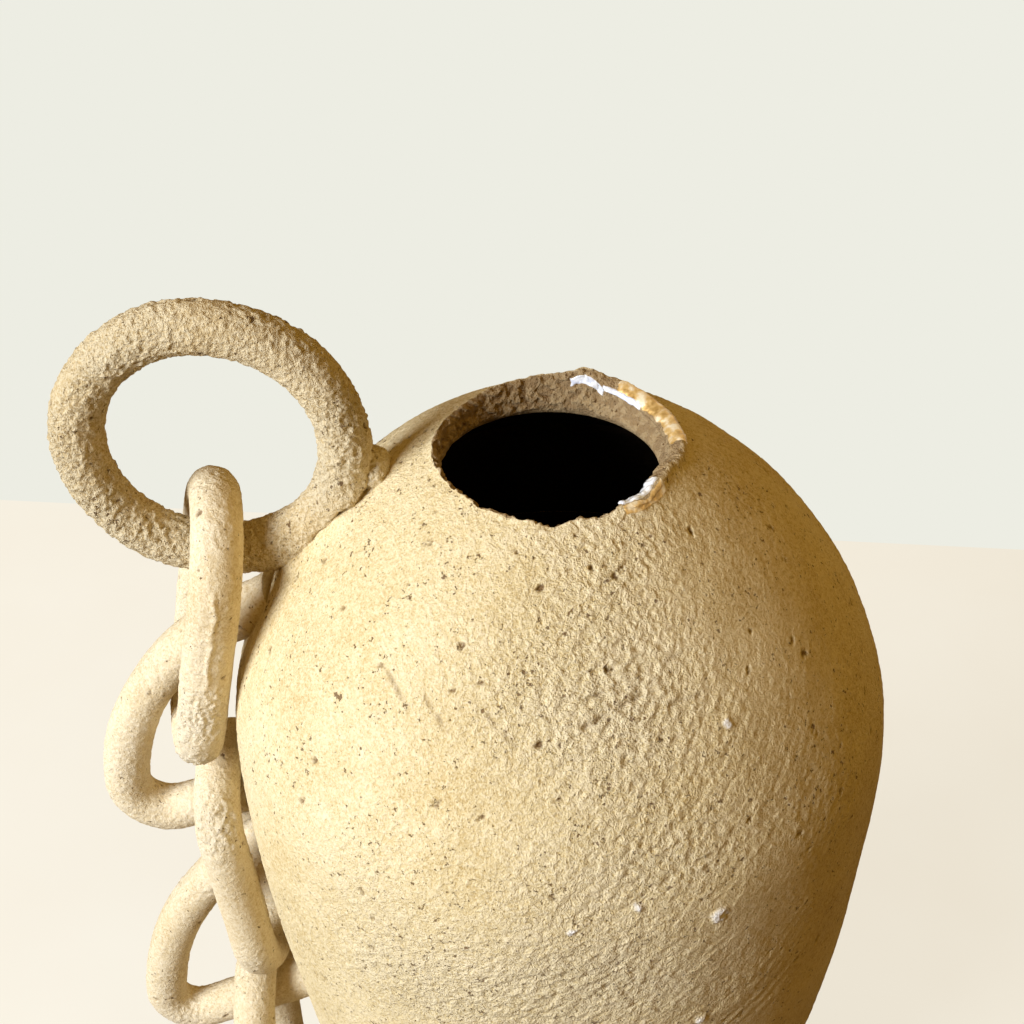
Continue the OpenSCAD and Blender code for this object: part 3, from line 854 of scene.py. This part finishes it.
def ear(name, path, seed):
    """A coil along the path, smeared wider where it meets the wall. Rows deep inside the wall are left out,
    what would show inside the jar is pulled back into the wall, and each end is closed."""
    depth = wall_r(path[:, 2]) - np.hypot(path[:, 0], path[:, 1])
    middle = len(path) // 2
    inside = np.where(depth > deep_mm)[0]
    start = max(inside[inside < middle].max() - end_rows, 0)
    end = min(inside[inside > middle].min() + end_rows, len(path) - 1)
    path = path[start:end + 1]
    way = sections(path, flat, ear_across, False)
    p = path[:, None] + coil_r * way
    offset, fields = coil_relief(p, seed, 0.28)
    seat = wall_r(p[..., 2]) - np.hypot(p[..., 0], p[..., 1])
    offset = offset + 1.3 * ramp(seat, -5, 2) * (0.7 + 0.6 * noise(p, 6, seed + 9))
    grid = path[:, None] + (coil_r + offset)[..., None] * way
    reach = np.hypot(grid[..., 0], grid[..., 1])
    least = wall_r(grid[..., 2]) - wall_t + cover_mm
    grid[..., :2] = grid[..., :2] * np.maximum(least / np.maximum(reach, 1), 1)[..., None]
    ends = [np.repeat(grid[k].mean(0)[None], ear_across, 0)[None] for k in (0, -1)]
    grid = np.concatenate([ends[0], grid, ends[1]])
    fields = {key: np.concatenate([value[:1], value, value[-1:]]) for key, value in fields.items()}
    add_piece(name, grid, "jar", [name], [link_clay], wrap=(False, True), fields=fields)


ear("upper_ear", upper_ear_path, seed=80)
ear("lower_ear", lower_ear_path, seed=100)

# %% [markdown]
# ## The loose links
# Each link is a closed oval of coil: two straight legs and two half rounds. It hangs on the coil through
# its joint. In its own plane the path is worked out from arc lengths, then turned by its lean and yaw and
# moved to the joint.

# %% Link paths
link_l, side_play, hang_play = 77.0, 3.4, 0.4
leg_y = 2 * coil_r + side_play
link_steps, link_across = 560, 116


def link_path(joint, lean, yaw):
    """Points of the oval: legs along Z at y = plus or minus leg_y, and half rounds of that radius at both
    ends, spaced evenly along the whole length."""
    at = np.array(joint["pos_m"]) / MM
    slope = math.atan2(joint["axis"][2], joint["axis"][0])
    legs = link_l - 2 * coil_r - 2 * leg_y
    top = (2 * coil_r + hang_play) / math.cos(slope) - leg_y
    half = legs + math.pi * leg_y
    s = np.linspace(0, 2 * half, link_steps, endpoint=False)
    t = s % half
    bend = np.clip(t - legs, 0, None) / leg_y
    y = np.where(t < legs, leg_y, leg_y * np.cos(bend))
    z = np.where(t < legs, t - legs / 2, legs / 2 + leg_y * np.sin(bend))
    sign = np.where(s < half, 1, -1)
    local = np.stack([0 * s, sign * y, sign * z + top - legs / 2], -1)
    turn = np.array(Matrix.Rotation(math.radians(lean), 3, "Y") @ Matrix.Rotation(math.radians(yaw), 3, "Z"))
    return at + local @ turn.T, turn @ np.array([1.0, 0, 0])


print("links are", link_l, "mm long and", round(2 * (leg_y + coil_r), 1), "mm wide")

# %% Links
def link(name, joint, lean, yaw, seed, crumbly=(), ridge=None):
    """A coil along the oval. crumbly lists heights at which its front is rough, each with a half width, and
    ridge is the height range of a raised seam down its front. Relief fades where it lies on another coil."""
    path, normal = link_path(joint, lean, yaw)
    way = sections(path, normal, link_across, True)
    p = path[:, None] + coil_r * way
    front = ramp(-way[..., 1], 0.1, 0.7)
    coarse = 0.25 + front * sum(hill(p[..., 2], z, half) for z, half in crumbly)
    offset, fields = coil_relief(p, seed, coarse)
    if ridge:
        low, high = ridge
        within = ramp(p[..., 2], low - 2, low + 2) * (1 - ramp(p[..., 2], high - 2, high + 2))
        wander = 0.15 * noise(p, 5, seed + 9)
        offset = offset + 0.5 * front * within * hill(way[..., 0] + wander, 0.12, 0.11)
    near = np.linalg.norm(p - np.array(joint["pos_m"]) / MM, axis=-1)
    rest = 1 - ramp(near, 9, 15)
    offset = offset * (1 - 0.8 * rest) - 0.1 * rest
    grid = path[:, None] + (coil_r + offset)[..., None] * way
    add_piece(name, grid, name, [name], [link_clay], fields=fields)


link("upper_link", joints["upper_swing"], lean=11.82, yaw=12, seed=120, crumbly=((187, 7), (168, 5)),
     ridge=(197, 222))
link("middle_link", joints["middle_swing"], lean=-4.5, yaw=0, seed=140, crumbly=((150, 8),))
link("lower_link", joints["lower_swing"], lean=0, yaw=0, seed=160)

# %% [markdown]
# ## Floor, wall, light and camera
# The jar stands on a pale floor in front of a pale wall. The floor is a real sheet, because it catches the
# shadow and sends light back up. The wall is only a colour that the camera and mirrors see where nothing
# else is, so it never hides the jar from another side. A large soft light on the left is the window, and
# two weak warm ones stand in for light that the room sends back.

# %% Rays that see the background
def background_rays(tree):
    """1 for rays from the camera, a mirror or glass, and 0 for rays that only carry light: the highest of
    the three marks that a ray has."""
    ray = node(tree, "LightPath")
    seen = node(tree, "Math", highest, in_0=ray["Is Camera Ray"], in_1=ray["Is Glossy Ray"])[0]
    return node(tree, "Math", highest, in_0=seen, in_1=ray["Is Transmission Ray"])[0]


# %% Floor
def floor_material(glow_share):
    """Matt cloth with faint clouds 60 mm wide. To the camera glow_share of it is plain pale light, and the
    rest is lit cloth that keeps the jar's shadow. To the jar it is a dull cloth, so that the underside
    stays in shade."""
    material, tree = blank_material("floor_cloth")
    place = node(tree, "TexCoord")["Object"]
    cloud = node(tree, "TexNoise", Vector=place, Scale=per_metre(60), Detail=3.0)["Fac"]
    pale = node(tree, "Mix", colours, in_0=cloud, in_6=linear("#FCF7E9"),
                in_7=linear("#F8F1E1"))[2]
    lit = node(tree, "BsdfDiffuse", Color=pale)
    glow = node(tree, "Emission", Color=pale, Strength=1.0)
    seen = node(tree, "MixShader", in_0=glow_share, in_1=lit[0], in_2=glow[0])
    dull = node(tree, "BsdfDiffuse", Color=linear("#5A3E18"))
    either = node(tree, "MixShader", in_0=background_rays(tree), in_1=dull[0], in_2=seen[0])
    node(tree, "OutputMaterial", Surface=either[0])
    return material


floor_half, left_back, right_back = 2.0, 0.480, 0.110
floor_corners = [(-floor_half, -floor_half, 0), (floor_half, -floor_half, 0), (floor_half, right_back, 0),
                 (-floor_half, left_back, 0)]
floor_mesh = bpy.data.meshes.new("floor")
floor_mesh.from_pydata(floor_corners, [], [(0, 1, 2, 3)])
floor_mesh.materials.append(floor_material(glow_share=0.82))
floor = bpy.data.objects.new("floor", floor_mesh)
scene.collection.objects.link(floor)
print("floor is", 2 * floor_half, "m wide")

# %% Wall colour and room light
world = bpy.data.worlds.new("room")
world.use_nodes = True
tree = world.node_tree
tree.nodes.clear()
wall_colour = node(tree, "Background", Color=linear("#EDEDE3"), Strength=1.0)
room_light = node(tree, "Background", Color=linear("#FFC24E"), Strength=0.16)
either = node(tree, "MixShader", in_0=background_rays(tree), in_1=room_light[0],
              in_2=wall_colour[0])
node(tree, "OutputWorld", Surface=either[0])
scene.world = world
scene.view_settings.view_transform = "Standard"
print("world:", world.name)

# %% Lamps
def area_light(name, place, aim, size, power, colour):
    """A square soft light at place, turned towards aim."""
    light = bpy.data.lights.new(name, "AREA")
    light.shape = "SQUARE"
    light.size = size
    light.energy = power
    light.color = colour
    lamp = bpy.data.objects.new(name, light)
    lamp.location = place
    lamp.rotation_euler = (Vector(aim) - Vector(place)).to_track_quat("-Z", "Y").to_euler()
    scene.collection.objects.link(lamp)


jar_middle = (0, 0, 0.16)
area_light("window", (-1.03, -0.76, 0.76), jar_middle, size=0.75, power=36, colour=(0.82, 0.88, 1.0))
area_light("room_back_light", (1.1, -0.7, 1.6), jar_middle, size=1.2, power=5.0, colour=(1.0, 0.64, 0.14))
area_light("far_room_light", (0.7, 1.3, 1.1), jar_middle, size=1.2, power=4.5, colour=(1.0, 0.7, 0.26))

# %% Camera
image_px, focal_px, sensor_mm = 1024, 1600, 36.0
camera_place = Vector((0, -0.2744, 0.4348))
pitch, yaw, roll = (math.radians(v) for v in (36.8, -1.99, -1.63))
ahead = Vector((math.sin(yaw) * math.cos(pitch), math.cos(yaw) * math.cos(pitch), -math.sin(pitch)))
level = Vector((math.cos(yaw), -math.sin(yaw), 0))
upright = level.cross(ahead)
right = math.cos(roll) * level + math.sin(roll) * upright
up = math.cos(roll) * upright - math.sin(roll) * level
camera_data = bpy.data.cameras.new("camera")
camera_data.sensor_width = sensor_mm
camera_data.lens = focal_px / image_px * sensor_mm
camera_data.clip_start = 0.01
camera = bpy.data.objects.new("camera", camera_data)
camera.matrix_world = Matrix.Translation(camera_place) @ Matrix((right, up, -ahead)).transposed().to_4x4()
scene.collection.objects.link(camera)
scene.camera = camera
print("camera lens", round(camera_data.lens, 2), "mm")
